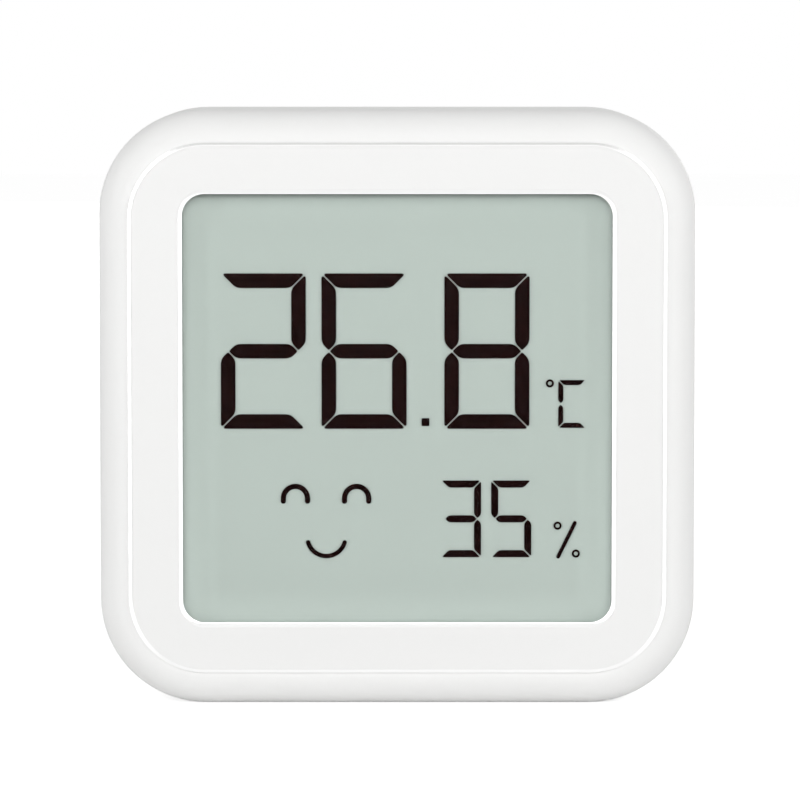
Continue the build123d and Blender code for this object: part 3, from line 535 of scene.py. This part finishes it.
def cell_steel(name, centre):
    """The coin cell's nickel-plated steel, finely turned about its middle, with handling marks."""
    material, tree = start_material(name)
    place = tree.node("ShaderNodeTexCoord").outputs["Object"]
    offset = tree.node("ShaderNodeVectorMath", {0: place, 1: centre}, operation="SUBTRACT").outputs[0]
    flat = tree.node(
        "ShaderNodeVectorMath", {0: offset, 1: (1.0, 0.0, 1.0)}, operation="MULTIPLY"
    ).outputs[0]
    radius = tree.node("ShaderNodeVectorMath", {0: flat}, operation="LENGTH").outputs["Value"]
    along = tree.node("ShaderNodeCombineXYZ", {"X": radius}).outputs[0]
    rings = tree.noise(along, 9000.0, 3.0, 0.7)
    marks = tree.use(
        drawn_metal, Colour=screen(186, 185, 182), Roughness=0.2, Line_Stretch=(3.0, 1.0, 3.0)
    )
    edges = tree.use(soft_edges)
    ring_share = tree.between(rings, 0.35, 0.65, 0.0, 0.4)
    ringed = tree.tint(ring_share, marks["Colour"], screen(140, 140, 139))
    height = tree.total(rings, tree.product(marks["Height"], 0.3))
    bump = tree.node(
        "ShaderNodeBump",
        {"Height": height, "Normal": edges["Normal"], "Strength": 0.25, "Distance": 0.003 * MM},
    )
    shader = tree.node(
        "ShaderNodeBsdfPrincipled",
        {
            "Base Color": ringed,
            "Metallic": 1.0,
            "Roughness": tree.total(marks["Roughness"], tree.between(rings, 0.3, 0.7, 0.0, 0.1)),
            "Normal": bump.outputs[0],
        },
    )
    show(tree, shader)
    return material


def speckled_solid(name, colour, speck, size, share, roughness, depth=0.01 * MM):
    """Moulded epoxy, fired ceramic or pressed powder."""
    material, tree = start_material(name)
    mix = tree.use(speckled_mix, Colour=colour, Speck_Colour=speck, Speck_Size=size, Speck_Share=share)
    edges = tree.use(soft_edges)
    paler = tree.tint(tree.product(edges["Edge"], 0.25), mix["Colour"], speck)
    bump = tree.node(
        "ShaderNodeBump",
        {"Height": mix["Height"], "Normal": edges["Normal"], "Strength": 0.3, "Distance": depth},
    )
    rough = tree.between(mix["Height"], 0.2, 1.2, roughness - 0.08, roughness + 0.08)
    shader = tree.node(
        "ShaderNodeBsdfPrincipled", {"Base Color": paler, "Roughness": rough, "Normal": bump.outputs[0]}
    )
    show(tree, shader)
    return material


def board_laminate(name):
    """Green solder mask with patches of parallel copper tracks and small joining holes under it."""
    material, tree = start_material(name)
    place = tree.node("ShaderNodeTexCoord").outputs["Object"]
    axes = tree.node("ShaderNodeSeparateXYZ", {0: place}).outputs
    patch = tree.node(
        "ShaderNodeTexVoronoi", {"Vector": place, "Scale": 210.0}, distance="CHEBYCHEV"
    ).outputs
    random = tree.node("ShaderNodeSeparateColor", {"Color": patch["Color"]}).outputs
    upright = tree.maths("GREATER_THAN", random[0], 0.5)
    lying = tree.less(1.0, upright)
    across = tree.total(tree.product(axes["X"], upright), tree.product(axes["Z"], lying))
    wave = tree.maths("FRACT", tree.product(across, 1 / TRACK_SPACING))
    middle = tree.maths("ABSOLUTE", tree.less(wave, 0.5))
    on_track = tree.between(middle, 0.17, 0.21, 1.0, 0.0)
    tracked = tree.product(on_track, tree.maths("GREATER_THAN", random[1], 0.45))
    vias = tree.node("ShaderNodeTexVoronoi", {"Vector": place, "Scale": 420.0}).outputs["Distance"]
    in_ring = tree.maths("LESS_THAN", vias, 0.13)
    ring = tree.product(in_ring, tree.maths("GREATER_THAN", vias, 0.06))
    copper = tree.maths("MAXIMUM", tracked, ring)
    cloud = tree.noise(place, 300.0, 3.0)
    mask = tree.tint(cloud, screen(16, 82, 48), screen(20, 94, 54))
    colour = tree.tint(copper, mask, screen(48, 128, 72))
    edges = tree.use(soft_edges)
    bump = tree.node(
        "ShaderNodeBump",
        {"Height": copper, "Normal": edges["Normal"], "Strength": 0.5, "Distance": 0.02 * MM},
    )
    shader = tree.node(
        "ShaderNodeBsdfPrincipled",
        {
            "Base Color": colour,
            "Roughness": tree.between(cloud, 0.3, 0.7, 0.28, 0.4),
            "Normal": bump.outputs[0],
        },
    )
    show(tree, shader)
    return material


def striped_rubber(name):
    """The elastomer strip: thin carbon layers between clear ones, seen as fine stripes."""
    material, tree = start_material(name)
    place = tree.node("ShaderNodeTexCoord").outputs["Object"]
    across = tree.node("ShaderNodeSeparateXYZ", {0: place}).outputs["X"]
    wave = tree.maths("FRACT", tree.product(across, 1 / STRIP_SPACING))
    stripe = tree.maths("GREATER_THAN", wave, 0.5)
    grain = tree.noise(place, 4000.0)
    colour = tree.tint(stripe, screen(34, 34, 36), screen(122, 124, 128))
    shader = tree.node(
        "ShaderNodeBsdfPrincipled",
        {"Base Color": colour, "Roughness": tree.between(grain, 0.3, 0.7, 0.55, 0.75)},
    )
    show(tree, shader)
    return material


def woven_sheet(name, colour):
    """Thin membrane or non-woven cloth: crossed fibres with small gaps."""
    material, tree = start_material(name)
    place = tree.node("ShaderNodeTexCoord").outputs["Object"]
    fibre_ways = []
    for stretch in ((1, 1, 9), (9, 1, 1)):
        stretched = tree.node("ShaderNodeMapping", {"Vector": place, "Scale": stretch}).outputs[0]
        fibre_ways.append(tree.noise(stretched, 2600.0))
    fibres = tree.maths("MAXIMUM", *fibre_ways)
    shade = tree.between(fibres, 0.4, 0.7, 0.86, 1.02)
    scaled = tree.shaded(colour, shade)
    bump = tree.node("ShaderNodeBump", {"Height": fibres, "Strength": 0.5, "Distance": 0.01 * MM})
    shader = tree.node(
        "ShaderNodeBsdfPrincipled",
        {
            "Base Color": scaled,
            "Roughness": tree.between(fibres, 0.3, 0.7, 0.95, 0.8),
            "Normal": bump.outputs[0],
        },
    )
    show(tree, shader)
    return material


def dress(material, *nodes):
    """Puts a material on the solids of these nodes."""
    for node in nodes:
        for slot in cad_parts[node].material_slots:
            slot.material = material


def dress_case():
    """Every white moulded piece."""
    dress(
        moulded_plastic(
            "case_white",
            screen(241, 241, 240),
            roughness=0.46,
            grain_size=0.09 * MM,
            grain_depth=0.006 * MM,
            dust=0.04,
            bevel=0.9,
        ),
        "front_shell",
    )
    dress(
        moulded_plastic(
            "cover_white",
            screen(240, 240, 239),
            roughness=0.52,
            grain_size=0.13 * MM,
            grain_depth=0.012 * MM,
            dust=0.12,
        ),
        "back_cover",
    )
    dress(
        moulded_plastic(
            "button_white",
            screen(238, 238, 236),
            roughness=0.34,
            grain_size=0.08 * MM,
            grain_depth=0.004 * MM,
            dust=0.15,
        ),
        "button_cap",
    )
    dress(
        moulded_plastic(
            "tray_white",
            screen(234, 234, 231),
            roughness=0.40,
            grain_size=0.16 * MM,
            grain_depth=0.010 * MM,
            clouds=0.03,
            dust=0.25,
        ),
        "battery_tray",
    )
    dress(
        moulded_plastic(
            "frame_white",
            screen(236, 236, 232),
            roughness=0.45,
            grain_size=0.12 * MM,
            grain_depth=0.008 * MM,
        ),
        "display_frame",
    )


def dress_display():
    """The clear window, the films and glasses, the dark marks and the reflector."""
    dress(
        clear_sheet("clear_window", (0.995, 1.0, 0.998, 1.0), roughness=0.0, bend=1.07, haze=0.01),
        "display_window",
    )
    dress(
        clear_sheet("front_film", (0.985, 0.99, 0.985, 1.0), roughness=0.0, bend=1.02, haze=0.004),
        "front_polariser",
    )
    dress(
        clear_sheet("display_glass", (0.988, 0.994, 0.99, 1.0), roughness=0.0, bend=1.03, haze=0.004),
        "front_glass",
    )
    dress(
        reflector_film("display_grey", screen(194, 202, 198), painted_rim_light=0.38),
        "rear_glass",
    )
    dress(
        reflector_film("reflector_grey", screen(176, 186, 180), painted_rim_light=0.0),
        "rear_polariser",
    )
    dress(
        dark_liquid("dark_marks", (0.0088, 0.0017, 0.0017, 1.0)),
        "temperature_digits",
        "temperature_unit",
        "humidity_digits",
        "percent_sign",
        "comfort_face",
    )
    dress(
        moulded_plastic(
            "seal_resin",
            screen(176, 184, 178),
            roughness=0.35,
            grain_size=0.08 * MM,
            grain_depth=0.004 * MM,
            clouds=0.05,
        ),
        "edge_seal",
    )
    dress(
        speckled_solid(
            "window_tape",
            screen(226, 226, 222),
            speck=screen(206, 206, 200),
            size=0.04 * MM,
            share=0.2,
            roughness=0.75,
        ),
        "lens_tape",
    )
    dress(
        speckled_solid(
            "gasket_rubber",
            screen(214, 214, 210),
            speck=screen(190, 190, 184),
            size=0.06 * MM,
            share=0.25,
            roughness=0.7,
        ),
        "display_gasket",
    )
    dress(striped_rubber("strip_rubber"), "connector_strip")


def dress_board():
    """The main board and all that is soldered to it."""
    dress(board_laminate("board_green"), "main_board")
    dress(
        plated_metal("gold_pads", screen(222, 182, 96), roughness=0.22),
        "connector_pads",
        "test_pads",
    )
    dress(
        speckled_solid(
            "chip_epoxy",
            screen(34, 34, 36),
            speck=screen(62, 62, 64),
            size=0.03 * MM,
            share=0.12,
            roughness=0.55,
        ),
        "radio_chip",
        "display_driver",
        "sensor_chip",
        "switch_body",
    )
    dress(
        plated_metal("tin_leads", screen(205, 205, 202), roughness=0.30),
        "driver_leads",
        "chip_terminals",
    )
    dress(
        plated_metal("can_steel", screen(206, 205, 201), roughness=0.24, stretch=(12.0, 1.0, 1.0)),
        "crystal",
        "switch_cover",
    )
    dress(
        speckled_solid(
            "capacitor_ceramic",
            screen(170, 142, 108),
            speck=screen(148, 120, 88),
            size=0.05 * MM,
            share=0.3,
            roughness=0.5,
        ),
        "chip_capacitors",
    )
    dress(
        speckled_solid(
            "resistor_ceramic",
            screen(36, 36, 40),
            speck=screen(70, 70, 76),
            size=0.05 * MM,
            share=0.15,
            roughness=0.35,
        ),
        "chip_resistors",
    )
    dress(
        speckled_solid(
            "tantalum_yellow",
            screen(214, 166, 66),
            speck=screen(190, 142, 48),
            size=0.05 * MM,
            share=0.2,
            roughness=0.5,
        ),
        "bulk_capacitor",
    )
    dress(
        moulded_plastic(
            "antenna_copper",
            screen(58, 132, 78),
            roughness=0.35,
            grain_size=0.1 * MM,
            grain_depth=0.004 * MM,
            clouds=0.1,
        ),
        "printed_antenna",
    )
    dress(woven_sheet("filter_membrane", screen(240, 240, 238)), "sensor_filter")
    dress(
        moulded_plastic(
            "plunger_black",
            screen(44, 44, 46),
            roughness=0.4,
            grain_size=0.08 * MM,
            grain_depth=0.004 * MM,
            clouds=0.1,
        ),
        "switch_plunger",
    )


def dress_battery():
    """Contacts, screws and the coin cell."""
    dress(
        plated_metal("spring_tin", screen(196, 195, 190), roughness=0.26, stretch=(1.0, 1.0, 12.0)),
        "negative_contact",
        "positive_contact",
    )
    dress(
        plated_metal("screw_steel", screen(168, 166, 160), roughness=0.32, stretch=(6.0, 6.0, 6.0)),
        "tray_screws",
    )
    low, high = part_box("cell_can")
    dress(cell_steel("cell_nickel", tuple((low + high) / 2)), "cell_can", "cell_cap")
    dress(
        moulded_plastic(
            "seal_plastic",
            screen(70, 72, 76),
            roughness=0.45,
            grain_size=0.1 * MM,
            grain_depth=0.006 * MM,
            clouds=0.06,
        ),
        "cell_gasket",
    )
    dress(
        speckled_solid(
            "cathode_powder",
            screen(36, 36, 36),
            speck=screen(66, 64, 62),
            size=0.04 * MM,
            share=0.3,
            roughness=0.85,
        ),
        "cell_cathode",
    )
    dress(woven_sheet("separator_cloth", screen(232, 232, 226)), "cell_separator")
    dress(
        plated_metal("soft_metal", screen(190, 190, 192), roughness=0.45, stretch=(4.0, 1.0, 4.0)),
        "cell_anode",
    )


def seen_directly(tree):
    """1 for the rays that show the background: straight from the camera, mirrored or through glass."""
    rays = tree.node("ShaderNodeLightPath").outputs
    mirrored = tree.maths("MAXIMUM", rays["Is Glossy Ray"], rays["Is Transmission Ray"])
    return tree.maths("MAXIMUM", rays["Is Camera Ray"], mirrored)


def light_room():
    """Even pale light from all sides, white where it is seen directly."""
    world = bpy.data.worlds.new("pale_room")
    world.use_nodes = True
    bpy.context.scene.world = world
    tree = Tree(world.node_tree)
    way = tree.node("ShaderNodeTexCoord").outputs["Generated"]
    rise = tree.node("ShaderNodeSeparateXYZ", {0: way}).outputs["Z"]
    soft = tree.node(
        "ShaderNodeBackground",
        {"Color": WHITE, "Strength": tree.between(rise, 0.0, 1.0, ROOM_LIGHT, CEILING_LIGHT)},
    )
    white = tree.node("ShaderNodeBackground", {"Color": WHITE, "Strength": 1.0})
    mixed = tree.node(
        "ShaderNodeMixShader", {0: seen_directly(tree), 1: soft.outputs[0], 2: white.outputs[0]}
    )
    tree.node("ShaderNodeOutputWorld", {"Surface": mixed.outputs[0]})


def lay_floor():
    """A plain pale floor that keeps the sensor's shadow."""
    half = FLOOR_SIZE / 2
    mesh = bpy.data.meshes.new("studio_floor")
    corners = [(-half, -half, 0.0), (half, -half, 0.0), (half, half, 0.0), (-half, half, 0.0)]
    mesh.from_pydata(corners, [], [(0, 1, 2, 3)])
    floor = bpy.data.objects.new("studio_floor", mesh)
    bpy.context.scene.collection.objects.link(floor)
    material, tree = start_material("floor_paper")
    matte = tree.node("ShaderNodeBsdfDiffuse", {"Color": FLOOR_COLOUR})
    strength = tree.product(seen_directly(tree), FLOOR_GLOW)
    glow = tree.node("ShaderNodeEmission", {"Strength": strength})
    show(tree, tree.node("ShaderNodeAddShader", {0: matte.outputs[0], 1: glow.outputs[0]}))
    mesh.materials.append(material)


def hang_lamp(name, azimuth, elevation, distance, width, height, share):
    """A soft lamp that gives a white surface, square to it at the sensor, this share of full white.

    The azimuth, from the display's front to its right, and the elevation are in degrees.
    """
    lamp = bpy.data.lights.new(name, "AREA")
    lamp.shape = "RECTANGLE"
    lamp.size = width
    lamp.size_y = height
    lamp.energy = share * pi * pi * distance * distance
    hung = bpy.data.objects.new(name, lamp)
    bpy.context.scene.collection.objects.link(hung)
    turn, rise = radians(azimuth), radians(elevation)
    way = Vector((sin(turn) * cos(rise), -cos(turn) * cos(rise), sin(rise)))
    hung.location = AIM + distance * way
    hung.rotation_euler = way.to_track_quat("Z", "Y").to_euler()
    hung.visible_camera = False


def place_camera():
    """The camera at the photograph's height, distance and framing."""
    camera = bpy.data.cameras.new("photo_camera")
    camera.lens = LENS_LENGTH
    camera.sensor_width = SENSOR_WIDTH
    camera.shift_x = SHIFT_RIGHT
    camera.shift_y = SHIFT_UP
    camera.clip_start = NEAREST_SEEN
    placed = bpy.data.objects.new("photo_camera", camera)
    bpy.context.scene.collection.objects.link(placed)
    away = Vector((0.0, -cos(VIEW_ELEVATION), sin(VIEW_ELEVATION)))
    placed.location = AIM + VIEW_DISTANCE * away
    placed.rotation_euler = away.to_track_quat("Z", "Y").to_euler()
    bpy.context.scene.camera = placed


dress_case()
dress_display()
dress_board()
dress_battery()
light_room()
lay_floor()
hang_lamp(
    "front_lamp", azimuth=0, elevation=12, distance=0.9, width=0.6, height=0.3, share=0.29
)
hang_lamp(
    "left_lamp", azimuth=-56, elevation=6, distance=0.7, width=0.15, height=0.5, share=0.295
)
hang_lamp(
    "right_lamp", azimuth=56, elevation=6, distance=0.7, width=0.15, height=0.5, share=0.305
)
hang_lamp(
    "rear_lamp", azimuth=168, elevation=12, distance=0.9, width=0.6, height=0.3, share=0.32
)
place_camera()
bpy.context.scene.view_settings.view_transform = "Standard"
